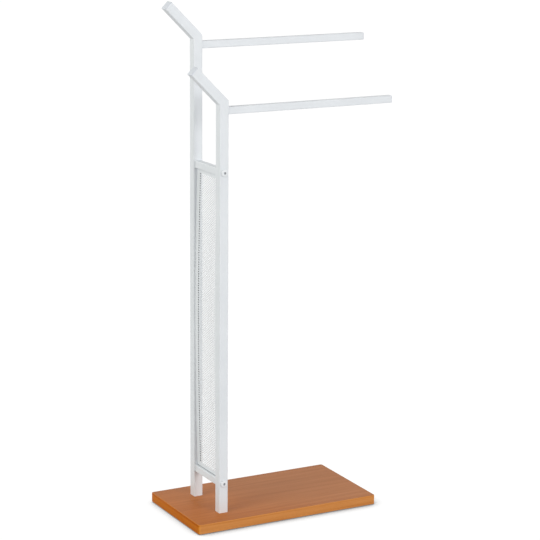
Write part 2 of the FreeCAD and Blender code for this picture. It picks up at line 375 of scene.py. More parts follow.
# The board's edge band, its painted shade on the short sides, its painted highlight at the
# corners, and the painted line of shade under its top edge
BAND_PALE = (0.660, 0.285, 0.088)
BAND_MID = (0.605, 0.243, 0.067)
BAND_DARK = (0.510, 0.182, 0.041)
BAND_SIDE_SHADE_PAINT = (0.885, 0.59, 0.07)
BAND_CORNER_HIGHLIGHT_PAINT = (1.18, 1.42, 1.75)
EDGE_SHADE_PAINT = (0.80, 0.62, 0.35)
EDGE_SHADE_PAINT_DROP = 2.3 * MM
EDGE_SHADE_PAINT_CORE = 0.2 * MM
EDGE_SHADE_PAINT_FADE = 1.1 * MM
EDGE_SHADE_PAINT_LEAST = 0.35

# Chipboard
CHIP_PALE = (0.62, 0.46, 0.28)
CHIP_DARK = (0.33, 0.21, 0.11)
CHIP_LIE = (0.5, 1, 1)
CHIP_SIZE = 1.1 * MM
CHIP_TINT = 0.9 * MM
CHIP_RELIEF = 0.25 * MM


def powder_coat(name, colour, thin_colour, roughness):
    """White powder coat: faint clouds in the tone, where the coat is thicker or thinner,
    with orange peel under a millimetre and a finer grain in the gloss."""
    finish = Finish(name, Specular_IOR_Level=0.5)
    places = finish.places()
    clouds = finish.noise(places, COAT_CLOUD, 3.0)
    peel = finish.noise(places, COAT_PEEL, 2.0)
    grain = finish.noise(places, COAT_GRAIN, 1.0)
    finish.feed(
        Base_Color=finish.blend(clouds.step(0.30, 0.75) * 0.8 + peel * 0.2, colour, thin_colour),
        Roughness=roughness + (clouds - 0.5) * 0.08 + (grain - 0.5) * 0.10,
        Normal=finish.relief(peel * 0.75 + grain * 0.25, COAT_RELIEF),
    )
    return finish.material


def cap_plastic():
    """Matte white plastic with a spark-eroded grain."""
    finish = Finish("cap_plastic", Specular_IOR_Level=0.45)
    places = finish.places()
    grain = finish.noise(places, CAP_GRAIN, 2.0, 0.6)
    clouds = finish.noise(places, CAP_CLOUD, 2.0)
    finish.feed(
        Base_Color=finish.blend(clouds * 0.6 + grain * 0.4, CAP_WHITE, CAP_SHADE),
        Roughness=0.48 + (grain - 0.5) * 0.16,
        Normal=finish.relief(grain, CAP_RELIEF),
    )
    return finish.material


def socket_steel():
    """Bare, slightly oily steel inside the bolts' sockets."""
    finish = Finish("socket_steel", Metallic=0.8)
    streaks = finish.noise(finish.places(), SOCKET_STREAK, 3.0, 0.6)
    finish.feed(
        Base_Color=finish.blend(streaks, SOCKET_STEEL, SOCKET_DARK),
        Roughness=0.35 + streaks * 0.25,
        Normal=finish.relief(streaks, METAL_RELIEF),
    )
    return finish.material


def zinc_plate():
    """Zinc plating: soft spangle, fine turning marks and a dull passivated tone."""
    finish = Finish("zinc_plate", Metallic=1.0)
    places = finish.places()
    spangle = finish.cells(places, ZINC_SPANGLE)
    marks = finish.noise(finish.stretched(places, ZINC_MARKS_LIE), ZINC_MARK, 3.0, 0.6)
    finish.feed(
        Base_Color=finish.blend(spangle.step(0.1, 0.8) * 0.6 + marks * 0.4, ZINC, ZINC_DARK),
        Roughness=0.30 + marks * 0.18,
        Normal=finish.relief(marks, METAL_RELIEF),
    )
    return finish.material


def pad_foam():
    """Dark closed-cell foam with small pores."""
    finish = Finish("pad_foam", Specular_IOR_Level=0.3)
    pores = finish.cells(finish.places(), PAD_PORE).step(0.05, 0.45)
    finish.feed(
        Base_Color=finish.blend(pores, PAD_PORE_GREY, PAD_GREY),
        Roughness=0.78 + pores * 0.12,
        Normal=finish.relief(pores, PAD_RELIEF),
    )
    return finish.material


def beech_decor(finish, places, pale, mid, dark):
    """Colour, relief and tone of printed beech, with the grain along the first coordinate:
    broad soft bands, fine fibres, and short dark flecks of a few millimetres."""
    long_fibres = finish.stretched(places, BEECH_LONG)
    bands = finish.noise(long_fibres, BEECH_BAND, 3.0, 0.55, 0.6)
    veins = finish.noise(long_fibres, BEECH_VEIN, 4.0, 0.6, 0.25)
    fibres = finish.noise(finish.stretched(places, BEECH_SHORT), BEECH_FIBRE, 3.0, 0.65)
    fleck_middles = finish.cells(finish.stretched(places, BEECH_FLECK_LONG), BEECH_FLECK)
    in_patch = finish.noise(places, BEECH_FLECK_PATCH, 2.0).step(0.40, 0.62)
    flecks = (1 - fleck_middles.step(0.10, 0.24)) * in_patch
    tone = bands * 0.50 + veins * 0.35 + fibres * 0.15
    colour = finish.ramp(tone, [(0.34, dark), (0.50, mid), (0.66, pale)])
    colour = finish.blend(flecks * 0.40, colour, dark)
    relief = fibres * 0.6 + (1 - flecks) * 0.4
    return colour, relief, tone


def board_foil():
    """Satin beech foil with painted sheen: its colour turns more orange towards the front left
    corner, so the rest reads paler, as under a veil of reflected light.
    """
    finish = Finish("board_foil", Specular_IOR_Level=0.16)
    places = finish.places()
    colour, relief, tone = beech_decor(finish, places, FOIL_PALE, FOIL_MID, FOIL_DARK)
    across, along, _ = finish.axes(places)
    # Painted sheen: 1 at the front left, falling to 0 towards the back right
    sheen_paint_share = 1 - (across + along * FOIL_SHEEN_PAINT_SLANT).step(FOIL_SHEEN_PAINT_TO, FOIL_SHEEN_PAINT_FROM)
    finish.feed(
        Base_Color=finish.blend(sheen_paint_share, colour, FOIL_SHEEN_PAINT_TINT, "MULTIPLY"),
        Roughness=0.40 + (1 - tone) * 0.12,
        Normal=finish.relief(relief, BEECH_RELIEF),
    )
    return finish.material


def board_band():
    """Edge band: a more orange beech print whose grain runs along the band, with painted light
    on it: painted shade that makes the short sides redder and darker than the long ones, a
    painted highlight that makes it paler where it turns round the corners, and a dark painted
    line of shade under its top edge, which shows most on the short sides."""
    finish = Finish("board_band", Specular_IOR_Level=0.03)
    colour, relief, tone = beech_decor(finish, finish.unrolled(), BAND_PALE, BAND_MID, BAND_DARK)
    to_short_side, to_long_side, _ = [part.absolute() for part in finish.facing()]
    # Painted shade: the short sides are tinted redder and darker than the long ones
    colour = finish.blend(to_short_side, colour, BAND_SIDE_SHADE_PAINT, "MULTIPLY")
    # Painted highlight: paler where the band turns round a corner
    corner_highlight_paint = to_short_side * to_long_side * 2
    colour = finish.blend(corner_highlight_paint, colour, BAND_CORNER_HIGHLIGHT_PAINT, "MULTIPLY")
    # Painted shade: a dark line under the top edge, strongest on the short sides
    height = finish.axes(finish.places())[2]
    from_line = (height - (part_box("base_board")[1].z - EDGE_SHADE_PAINT_DROP)).absolute()
    strength = EDGE_SHADE_PAINT_LEAST + to_short_side * (1 - EDGE_SHADE_PAINT_LEAST)
    line = (1 - from_line.step(EDGE_SHADE_PAINT_CORE, EDGE_SHADE_PAINT_FADE)) * strength
    finish.feed(
        Base_Color=finish.blend(line, colour, EDGE_SHADE_PAINT, "MULTIPLY"),
        Roughness=0.36 + (1 - tone) * 0.12,
        Normal=finish.relief(relief, BEECH_RELIEF),
    )
    return finish.material


def raw_chipboard():
    """Bare chipboard in the counterbores: pale and dark chips, rough."""
    finish = Finish("raw_chipboard", Specular_IOR_Level=0.3)
    places = finish.stretched(finish.places(), CHIP_LIE)
    chips = finish.cells(places, CHIP_SIZE)
    tint = finish.noise(places, CHIP_TINT, 3.0, 0.6)
    finish.feed(
        Base_Color=finish.blend(tint.step(0.35, 0.7), CHIP_PALE, CHIP_DARK),
        Roughness=0.85 + (tint - 0.5) * 0.2,
        Normal=finish.relief(chips * 0.6 + tint * 0.4, CHIP_RELIEF),
    )
    return finish.material


FINISHES = {
    "white_steel": powder_coat("steel_coat", COAT_WHITE, COAT_THIN, roughness=0.42),
    "white_sheet": powder_coat("sheet_coat", SHEET_WHITE, COAT_WHITE, roughness=0.46),
    "bolt_white": powder_coat("bolt_paint", BOLT_WHITE, COAT_WHITE, roughness=0.38),
    "cap_plastic": cap_plastic(),
    "zinc": zinc_plate(),
    "pads": pad_foam(),
    "board": board_foil(),
}
BAND_FINISH = board_band()
CHIP_FINISH = raw_chipboard()
SOCKET_FINISH = socket_steel()
# Painted shade: dark grey for the sheet's closed last column and its foot seam
SHADE_PAINT_FINISH = powder_coat("painted_shade_coat", SHADE_PAINT_PALE, SHADE_PAINT_DARK, roughness=0.6)


# ---------------------------------------------------------------- surfaces


def grid_quads(rows, columns, closed=False):
    """Quads between neighbouring points of a grid, row after row. Where it is closed, the
    last column joins the first."""
    row = np.arange(rows - 1)[:, None]
    column = np.arange(columns if closed else columns - 1)[None, :]
    beside = (column + 1) % columns
    quads = [row * columns + column, row * columns + beside]
    quads += [(row + 1) * columns + beside, (row + 1) * columns + column]
    return np.stack(quads, -1).reshape(-1, 4)


def rounded_outline(half_x, half_y, radius):
    """Points round a rectangle with rounded corners: each corner is a quarter circle about
    a centre that lies one radius inside both sides."""
    turn = np.linspace(0, np.pi / 2, QUARTER_STEPS + 1)
    start = np.arange(4)[:, None] * np.pi / 2
    angle = (start + turn[None, :]).ravel()
    centre_x = np.repeat([1, -1, -1, 1], len(turn)) * (half_x - radius)
    centre_y = np.repeat([1, 1, -1, -1], len(turn)) * (half_y - radius)
    return np.stack([centre_x + radius * np.cos(angle), centre_y + radius * np.sin(angle)], -1)


def outline_rings(half_x, half_y, radius, insets, levels):
    """Rounded outlines stacked into a surface: at each level the outline is drawn in by the
    inset, and its corners keep their centres until the radius is nearly used up."""
    rings = []
    for inset, level in zip(insets, levels):
        corner = max(radius - inset, LEAST_CORNER * radius)
        ring = rounded_outline(half_x - inset, half_y - inset, corner)
        rings.append(np.column_stack([ring, np.full(len(ring), level)]))
    return np.array(rings)


def ring_stack(radii, levels):
    """Closed rings about Z, each with its level and its radius, which is one number or one
    for each angle."""
    rings = []
    for radius, level in zip(radii, levels):
        flat = [radius * np.cos(ROUND_ANGLES), radius * np.sin(ROUND_ANGLES)]
        rings.append(np.stack([*flat, np.full(ROUND_SIDES, level)], -1))
    return np.array(rings)


def quarter_round(radius):
    """Insets and drops of a quarter circle that turns from a side to a face."""
    angle = np.linspace(0, np.pi / 2, EDGE_STEPS + 1)
    return radius * (1 - np.cos(angle)), radius * (1 - np.sin(angle))


def placed(points, axis, place, side=(0, 1, 0)):
    """Turns points so that their Z runs along an axis and their Y along a side, then
    carries them to a place."""
    up = Vector(axis).normalized()
    across = Vector(side).cross(up).normalized()
    turn = np.array([across, up.cross(across), up])
    return points.reshape(-1, 3) @ turn + np.array(place)


def build_piece(name, patches, slot, finishes=None, smooth=None, merge=0.001 * MM):
    """Makes one piece from patches, each of them points, faces and the number of its
    finish, joins what touches and turns the faces outwards."""
    points = np.concatenate([patch[0].reshape(-1, 3) for patch in patches])
    starts = np.cumsum([0] + [patch[0].size // 3 for patch in patches])
    faces, numbers = [], []
    for start, (_, patch_faces, number) in zip(starts, patches):
        faces += (patch_faces + start).tolist()
        numbers += [number] * len(patch_faces)
    mesh = bpy.data.meshes.new(name)
    mesh.from_pydata(points.tolist(), [], faces)
    mesh.polygons.foreach_set("material_index", numbers)
    shape = bmesh.new()
    shape.from_mesh(mesh)
    bmesh.ops.remove_doubles(shape, verts=shape.verts, dist=merge)
    bmesh.ops.recalc_face_normals(shape, faces=shape.faces)
    shape.to_mesh(mesh)
    shape.free()
    for finish in finishes or [FINISHES[slot]]:
        mesh.materials.append(finish)
    if smooth is not None:
        mesh.shade_smooth()
        mesh.set_sharp_from_angle(angle=math.radians(smooth))
    piece = bpy.data.objects.new(name, mesh)
    bpy.context.scene.collection.objects.link(piece)
    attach(piece, "root")
    return piece


def read_back(items, attribute, width, kind=float):
    """One attribute of a mesh's items, as rows of that width."""
    values = np.zeros(len(items) * width, kind)
    items.foreach_get(attribute, values)
    return values.reshape(-1, width)


def node_middle(node):
    """Middle of the box round a node of the model."""
    low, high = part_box(node)
    return (low + high) / 2


# ---------------------------------------------------------------- caps and bolts


def cap_patches(half, corner):
    """Cap from its tube's end upwards: the flange's side, a quarter round, and a low dome
    whose rise falls with the square of the way to the rim; below it, the hollow plug."""
    round_in, round_down = quarter_round(CAP_ROUND)
    rim_level = CAP_FLANGE - CAP_DOME
    dome_in = np.linspace(CAP_ROUND, half * CAP_DOME_REACH, CAP_DOME_STEPS + 1)[1:]
    share = 1 - (dome_in - CAP_ROUND) / (half - CAP_ROUND)
    insets = np.concatenate([[0], round_in, dome_in])
    levels = np.concatenate([[0], rim_level - round_down, rim_level + CAP_DOME * (1 - share**2)])
    flange = outline_rings(half, half, corner, insets, levels)
    plug_half = half - CAP_PLUG_GAP
    plug = outline_rings(plug_half, plug_half, corner / 2, [0, 0], [-CAP_PLUG, 0])
    patches = []
    for rings in (flange, plug):
        count = rings.shape[1]
        patches.append((rings, grid_quads(len(rings), count, closed=True), 0))
        patches.append((rings[-1], np.arange(count)[None], 0))
        patches.append((rings[0], np.arange(count)[None, ::-1], 0))
    return patches


def carried(patches, axis, place):
    """Patches turned along an axis and carried to a place."""
    return [(placed(points, axis, place), faces, number) for points, faces, number in patches]


def end_caps():
    """Four push-in caps on the free ends of the rails and the hook arms."""
    lean = (-math.sin(HOOK_LEAN), 0, math.cos(HOOK_LEAN))
    for side in ("front", "rear"):
        low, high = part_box(side + "_rail")
        half = (high.z - low.z) / 2
        middle = (low + high) / 2
        place = (high.x, middle.y, middle.z)
        patches = carried(cap_patches(half, RAIL_CORNER), (1, 0, 0), place)
        piece = build_piece(side + "_rail_end_cap", patches, "cap_plastic", smooth=40)
        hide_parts(side + "_rail_cap")
        low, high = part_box(side + "_hook_arm")
        half = (high.y - low.y) / 2
        end_x = low.x + half * math.cos(HOOK_LEAN)
        end_z = high.z - half * math.sin(HOOK_LEAN)
        place = (end_x, (low.y + high.y) / 2, end_z)
        patches = carried(cap_patches(half, POST_CORNER), lean, place)
        piece = build_piece(side + "_hook_end_cap", patches, "cap_plastic", smooth=40)
        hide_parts(side + "_hook_cap")


def bolt_patches():
    """Button-head bolt, head up: an upright rim that draws in at its foot, a dome that is a
    quarter of an ellipse, a flat ring that turns from a circle into a hexagon, the socket's
    six walls and its shallow cone, and the plain shank below."""
    foot = BOLT_HEAD_RADIUS - BOLT_UNDERCUT
    hexagon = HEX_APOTHEM / np.cos(ROUND_ANGLES % (np.pi / 3) - np.pi / 6)
    way = np.linspace(0, np.pi / 2, QUARTER_STEPS + 1)
    dome_radii = BOLT_FLAT_RADIUS + (BOLT_HEAD_RADIUS - BOLT_FLAT_RADIUS) * np.cos(way)
    dome_levels = BOLT_RIM + (BOLT_HEIGHT - BOLT_RIM) * np.sin(way)
    socket_top = BOLT_HEIGHT - HEX_CHAMFER
    socket_floor = BOLT_HEIGHT - HEX_DEPTH
    head = ring_stack(
        [foot, foot, BOLT_HEAD_RADIUS, *dome_radii, hexagon + HEX_CHAMFER, hexagon],
        [0, BOLT_UNDERCUT, BOLT_UNDERCUT_TOP, *dome_levels, BOLT_HEIGHT, socket_top],
    )
    socket = ring_stack(
        [hexagon, hexagon, hexagon * HEX_CONE_TIP],
        [socket_top, socket_floor, socket_floor - HEX_CONE],
    )
    shank = ring_stack(
        [foot, BOLT_SHANK_RADIUS, BOLT_SHANK_RADIUS, BOLT_TIP_RADIUS],
        [0, 0, BOLT_TIP_LENGTH - BOLT_LENGTH, -BOLT_LENGTH],
    )
    patches = []
    for rings, number in ((head, 0), (socket, 1), (shank, 0)):
        patches.append((rings, grid_quads(len(rings), ROUND_SIDES, closed=True), number))
    patches.append((socket[-1], np.arange(ROUND_SIDES)[None], 1))
    patches.append((shank[-1], np.arange(ROUND_SIDES)[None], 0))
    return patches


def panel_bolts():
    """Four bolts that hold the ladder panel, heads outside on both uprights."""
    patches = []
    for level in ("lower", "upper"):
        middle = node_middle(level + "_crossbar")
        for side, out in (("front", -1), ("rear", 1)):
            low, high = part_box(side + "_post")
            place = (middle.x, low.y if out < 0 else high.y, middle.z)
            for points, faces, number in bolt_patches():
                turned = placed(points, (0, out, 0), place, side=(1, 0, 0))
                patches.append((turned, faces, number))
    finishes = [FINISHES["bolt_white"], SOCKET_FINISH]
    piece = build_piece("panel_bolt_heads", patches, "bolt_white", finishes, smooth=35)
    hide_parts("panel_bolts")


# ---------------------------------------------------------------- expanded-metal sheet


def sheet_lines(low, high, low_margin, high_margin, half_cell):
    """Lines across one direction of the sheet: its two edges, and between them every half
    cell of the open area, counted from the high side. Returns them and the sites between."""
    sites = round((high - low - low_margin - high_margin) / half_cell) - 1
    inner = high - high_margin - np.arange(sites + 2)[::-1] * half_cell
    return np.concatenate([[low], inner, [high]]), sites


def on_sheet(points, side):
    """Flat points (along Y, along Z, lift) carried onto the sheet, half its thickness to
    the -X (-1) or +X (1) side. It stands out to -X by a parabola of the height."""
    low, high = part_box("mesh_panel")
    half = SHEET_THICKNESS / 2
    plane = high.x - half - MESH_TILT
    bow = plane - half - MESH_TILT - low.x
    along, height, lift = points.reshape(-1, 3).T
    way = (2 * height - low.z - high.z) / (high.z - low.z)
    return np.stack([plane - bow * (1 - way**2) - lift + side * half, along, height], -1)


def mesh_cell():
    """Corners of a cell's rhombus and of the rounder opening in it, both about the cell's
    middle, and the lift of the opening's corners: back at its top and out at its foot, so
    that the strands lie tilted as drawn metal does."""
    half_y, half_z = MESH_LONG_WAY / 2, MESH_SHORT_WAY / 2
    number = np.arange(MESH_CORNERS)
    turn = number * 2 * np.pi / MESH_CORNERS
    rhombus = np.stack([half_y * np.cos(turn), half_z * np.sin(turn)], -1)
    rhombus /= (np.abs(np.cos(turn)) + np.abs(np.sin(turn)))[:, None]
    between_sides = 2 * half_y * half_z / math.hypot(half_y, half_z)
    bulge = np.where(number % 2, MESH_BULGE, MESH_POINT)
    opening = rhombus * (1 - MESH_STRAND / between_sides) * bulge[:, None]
    lift = -MESH_TILT * opening[:, 1] / np.abs(opening[:, 1]).max()
    return rhombus, opening, lift


def plain_strips(lines_y, lines_z):
    """Grid of the sheet's lines, and its quads in the margins and in the seam, which is the
    lowest row."""
    grid = np.stack([*np.meshgrid(lines_y, lines_z), np.zeros((len(lines_z), len(lines_y)))], -1)
    quads = grid_quads(len(lines_z), len(lines_y))
    row, column = np.divmod(quads[:, 0], len(lines_y))
    on_seam = row == 0
    on_margin = (row == 1) | (row == len(lines_z) - 2)
    on_margin |= ~on_seam & ((column == 0) | (column == len(lines_y) - 2))
    return grid, quads[on_margin], quads[on_seam]


def opening_walls(openings):
    """Walls of openings through the sheet, from its -X side to its +X side."""
    count = openings.size // 3
    this = np.arange(count)
    following = this - this % MESH_CORNERS + (this + 1) % MESH_CORNERS
    points = np.concatenate([on_sheet(openings, -1), on_sheet(openings, 1)])
    return points, np.stack([this, following, following + count, this + count], -1)


def sheet_rim(lines_y, lines_z):
    """The sheet's outline, through every line that ends on it."""
    bottom = np.stack([lines_y[:-1], np.full(len(lines_y) - 1, lines_z[0])], -1)
    right = np.stack([np.full(len(lines_z) - 1, lines_y[-1]), lines_z[:-1]], -1)
    top = np.stack([lines_y[:0:-1], np.full(len(lines_y) - 1, lines_z[-1])], -1)
    left = np.stack([np.full(len(lines_z) - 1, lines_y[0]), lines_z[:0:-1]], -1)
    outline = np.concatenate([bottom, right, top, left])
    return np.column_stack([outline, np.zeros(len(outline))])


def drop_flat_quads(patches):
    """Leaves out quads without an area."""
    kept = []
    for points, faces, number in patches:
        corners = points[faces]
        area = np.cross(corners[:, 2] - corners[:, 0], corners[:, 3] - corners[:, 1])
        kept.append((points, faces[np.linalg.norm(area, axis=1) > FLAT_AREA], number))
    return kept


def expanded_sheet():
    """Expanded-metal sheet. Every second site of a half-cell lattice has a tile: a ring from the
    rhombus of its cell in to its opening. The sites round the open area have plain half tiles,
    and the margins are plain. The last column, along the rear margin, is closed by a floor, and
    that floor and the column's opening walls carry painted shade, a dark grey that stands for
    the shadow seen through those openings; the seam along the foot of the sheet, on the
    crossbar, carries the same painted shade."""
    low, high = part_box("mesh_panel")
    lines_y, columns = sheet_lines(low.y, high.y, FRONT_MARGIN, REAR_MARGIN, MESH_LONG_WAY / 2)
    lines_z, rows = sheet_lines(low.z, high.z, BOTTOM_MARGIN, TOP_MARGIN, MESH_SHORT_WAY / 2)
    row, column = np.meshgrid(np.arange(-1, rows + 1), np.arange(-1, columns + 1), indexing="ij")
    chosen = (row + column) % 2 == 0
    row, column = row[chosen], column[chosen]
    is_open = (row >= 0) & (row < rows) & (column >= 0) & (column < columns)
    # The last column of openings is closed and carries painted shade
    is_blind = column[is_open] == columns - 1
    centre = np.stack([lines_y[column + 2], lines_z[row + 2]], -1)[:, None]

    rhombus, opening, lift = mesh_cell()
    holes = centre[is_open]
    outer = np.dstack([holes + rhombus, np.zeros((len(holes), MESH_CORNERS))])
    inner = np.dstack([holes + opening, np.tile(lift, (len(holes), 1))])
    tile_starts = np.arange(len(holes))[:, None, None] * 2 * MESH_CORNERS
    tile_faces = tile_starts + grid_quads(2, MESH_CORNERS, closed=True)

    plain = centre[~is_open] + rhombus[::2]
    plain[..., 0] = np.clip(plain[..., 0], lines_y[1], lines_y[-2])
    plain[..., 1] = np.clip(plain[..., 1], lines_z[1], lines_z[-2])
    plain = np.dstack([plain, np.zeros(plain.shape[:2])])
    plain_faces = np.arange(plain.size // 3).reshape(-1, 4)

    lines_z = np.insert(lines_z, 1, low.z + SEAM_HEIGHT)
    grid, margin_faces, seam_faces = plain_strips(lines_y, lines_z)
    patches = []
    for points, faces, number in (
        (np.stack([outer, inner], 1), tile_faces.reshape(-1, 4), 0),
        (plain, plain_faces, 0),
        (grid, margin_faces, 0),
        (grid, seam_faces, 1),
    ):
        patches.append((on_sheet(points, -1), faces, number))
        patches.append((on_sheet(points, 1), faces[:, ::-1], number))
    rim = sheet_rim(lines_y, lines_z)
    sides = np.concatenate([on_sheet(rim, -1), on_sheet(rim, 1)])
    patches.append((sides, grid_quads(2, len(rim), closed=True), 0))
    patches.append((*opening_walls(inner[~is_blind]), 0))
    # Finish 1 on these walls, on the floors below and on the seam is painted shade
    patches.append((*opening_walls(inner[is_blind]), 1))
    patches = drop_flat_quads(patches)
    floors = on_sheet(inner[is_blind], 1)
    patches.append((floors, np.arange(len(floors)).reshape(-1, MESH_CORNERS), 1))
    finishes = [FINISHES["white_sheet"], SHADE_PAINT_FINISH]
    piece = build_piece("expanded_sheet", patches, "white_sheet", finishes, merge=0.01 * MM)
    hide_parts("mesh_panel")


# ---------------------------------------------------------------- board


def filled(loops):
    """Level face of triangles inside the first loop and outside the others, each loop's
    points joined round by edges."""
    sizes = np.array([len(loop) for loop in loops])
    start = np.repeat(np.cumsum(sizes) - sizes, sizes)
    this = np.arange(sizes.sum())
    following = start + (this - start + 1) % np.repeat(sizes, sizes)
    edges = np.stack([this, following], -1)
    mesh = bpy.data.meshes.new("outline")
    mesh.from_pydata(np.concatenate(loops).tolist(), edges.tolist(), [])
    shape = bmesh.new()
    shape.from_mesh(mesh)
    bmesh.ops.triangle_fill(shape, edges=shape.edges, use_beauty=True)
    shape.to_mesh(mesh)
    shape.free()
    points = read_back(mesh.vertices, "co", 3)
    corners = read_back(mesh.loops, "vertex_index", 1, int)
    bpy.data.meshes.remove(mesh)
    return points, corners.reshape(-1, 3), 0


def board_core():
    """Board inside its edge band: outline rings with a hairline step at the band's joint,
    and an underside with two stepped holes."""
    low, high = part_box("base_board")
    middle = (low + high) / 2
    half_x = (high.x - low.x) / 2 - BAND_THICKNESS
    half_y = (high.y - low.y) / 2 - BAND_THICKNESS
    insets = [BAND_JOINT, 0, 0, BAND_JOINT]
    levels = [low.z, low.z + BAND_JOINT, high.z - BAND_JOINT, high.z]
    rings = outline_rings(half_x, half_y, BOARD_CORNER - BAND_THICKNESS, insets, levels)
    rings += np.array([middle.x, middle.y, 0])
    count = rings.shape[1]
    patches = [(rings, grid_quads(len(rings), count, closed=True), 0)]
    patches.append((rings[-1], np.arange(count)[None], 0))
    radii = [COUNTERBORE_RADIUS, COUNTERBORE_RADIUS, BOLT_HOLE_RADIUS, BOLT_HOLE_RADIUS]
    step = low.z + COUNTERBORE_DEPTH
    loops = [rings[0]]
    for side in ("front", "rear"):
        post = node_middle(side + "_post")
        bore = ring_stack(radii, [low.z, step, step, high.z])
        bore += np.array([post.x, post.y, 0])
        patches.append((bore, grid_quads(len(bore), ROUND_SIDES, closed=True), 1))
        loops.append(bore[0])
    patches.append(filled(loops))
    finishes = [FINISHES["board"], CHIP_FINISH]
    piece = build_piece("board_core", patches, "board", finishes, smooth=30)
    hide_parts("base_board")


def board_edge_band():
    """Band round the board: a thin wall with eased outer edges, carried round the rounded
    outline."""
    low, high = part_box("base_board")
    middle = (low + high) / 2
    half_x, half_y = (high.x - low.x) / 2, (high.y - low.y) / 2
    ease_in, ease_down = quarter_round(BOARD_EASE)
    insets = np.concatenate([[BAND_THICKNESS], ease_in[::-1], ease_in, [BAND_THICKNESS]])
    levels = np.concatenate([[low.z], low.z + ease_down[::-1], high.z - ease_down, [high.z]])
    rings = outline_rings(half_x, half_y, BOARD_CORNER, insets, levels)
    rings += np.array([middle.x, middle.y, 0])
    count = rings.shape[1]
    inner_wall = np.stack([rings[-1], rings[0]])
    patches = [(rings, grid_quads(len(rings), count, closed=True), 0)]
    patches.append((inner_wall, grid_quads(2, count, closed=True), 0))
    piece = build_piece("board_edge_band", patches, "board", [BAND_FINISH], smooth=40)
    unroll(piece.data, middle, half_x, half_y)
    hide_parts("base_board")


def unroll(mesh, middle, half_x, half_y):
    """Map in metres: on the long sides the way along X, on the short sides the way along Y,
    shifted so that no two sides print the same stretch; up is the height."""
    corners = read_back(mesh.loops, "vertex_index", 1, int).ravel()
    here = read_back(mesh.vertices, "co", 3)[corners]
    corner_counts = read_back(mesh.polygons, "loop_total", 1, int).ravel()
    facing = np.repeat(read_back(mesh.polygons, "normal", 3), corner_counts, axis=0)
    from_middle = np.abs(here[:, :2] - np.array(middle.xy)) / (half_x, half_y)
    on_long_side = from_middle[:, 1] > from_middle[:, 0]
    along = np.where(on_long_side, here[:, 0], here[:, 1] + SHORT_SIDE_START * half_x)
    along += np.where(facing[:, 0] + facing[:, 1] > 0, FAR_SIDE_START * half_x, 0)
    unrolled = np.stack([along, here[:, 2]], -1)
    layer = mesh.uv_layers.new(name="unrolled")
    layer.data.foreach_set("uv", unrolled.astype(np.float32).ravel())


# ---------------------------------------------------------------- welds


def even_path(outline, spacing):
    """Closed outline drawn again with evenly spaced points."""
    closed = np.concatenate([outline, outline[:1]])
    length = np.concatenate([[0], np.cumsum(np.linalg.norm(np.diff(closed, axis=0), axis=1))])
    count = int(length[-1] / spacing)
    wanted = np.arange(count) * length[-1] / count
    return np.stack([np.interp(wanted, length, closed[:, axis]) for axis in range(2)], -1)


def outline_normals(path):
    """Outward direction at each point of a closed path that runs anticlockwise."""
    ahead = np.roll(path, -1, axis=0) - np.roll(path, 1, axis=0)
    normal = np.stack([ahead[:, 1], -ahead[:, 0]], -1)
    return normal / np.linalg.norm(normal, axis=1)[:, None]


def weld_bead(path, outward, width_axis):
    """Sections of a bead along a closed path: half an ellipse whose rise ripples as the
    weld pool froze, closed by a foot sunk into the metal. outward points off the surface
    and width_axis along it."""
    along = np.linalg.norm(np.roll(path, -1, axis=0) - path, axis=1)
    travelled = np.cumsum(along) - along[0]
    ripple = 1 + WELD_RIPPLE_SHARE * np.cos(2 * np.pi * travelled / WELD_RIPPLE)
    angle = np.linspace(0, np.pi, WELD_POINTS)[None, :, None]
    sideways = np.cos(angle) * width_axis[:, None] * WELD_HALF_WIDTH
    upwards = np.sin(angle) * (outward * ripple[:, None])[:, None] * WELD_RISE
    sections = path[:, None] + sideways + upwards
    foot = sections[:, [0, -1]].mean(1) - outward * WELD_RISE * WELD_SINK
    return np.concatenate([sections, foot[:, None]], 1)


def rail_welds():
    """Fillet welds round the rails' roots, on the uprights' right faces."""
    for side in ("front", "rear"):
        low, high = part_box(side + "_rail")
        middle = (low + high) / 2
        half = (high.z - low.z) / 2
        path = even_path(rounded_outline(half, half, RAIL_CORNER), WELD_SPACING)
        normal = outline_normals(path)
        level = np.zeros(len(path))
        outward = np.column_stack([normal, level + 1]) / math.sqrt(2)
        width_axis = np.column_stack([normal, level - 1]) / math.sqrt(2)
        lifted = np.column_stack([path, level]) + outward * WELD_OFFSET
        sections = weld_bead(lifted, outward, width_axis)
        closed = np.concatenate([sections, sections[:1]])
        points = placed(closed, (1, 0, 0), (low.x, middle.y, middle.z))
        patches = [(points, grid_quads(len(closed), closed.shape[1], closed=True), 0)]
        build_piece(side + "_rail_weld", patches, "white_steel", smooth=60)


# ---------------------------------------------------------------- the part


def dress_nodes():
    """Gives every node of the model that stays the finish of its slot."""
    slot_of = {part["node"]: part["material_slot"] for part in frame["record"]["subparts"]}
    for name, node in frame["nodes"].items():
        node.data.materials.clear()
        node.data.materials.append(FINISHES[slot_of[name]])


dress_nodes()
end_caps()
panel_bolts()
expanded_sheet()
board_core()
board_edge_band()
rail_welds()


# ---------------------------------------------------------------- floor, light, camera

BLACK = (0.0, 0.0, 0.0)
WHITE = (1.0, 1.0, 1.0)

# Floor: as a light on the stand, where it is seen, and its contact shadow
FLOOR_REACH = 40.0
FLOOR_CARD = (0.56, 0.56, 0.565)
FLOOR_WHITE = 1.03
SHADED_CARD = (0.10, 0.10, 0.10)
SHADED_SHARE = 0.07
SHADED_NEAR = 0.35
SHADED_FAR = 1.3
CONTACT_REACH = 26 * MM
CONTACT_FALL = 2.2
CONTACT_DEPTH = 2.95
CONTACT_LEAN = (-0.2, 0.0, 0.98)
CONTACT_FLOOR_SHARE = 0.01
CONTACT_SAMPLES = 6
CONTACT_DARKEST = 0.2

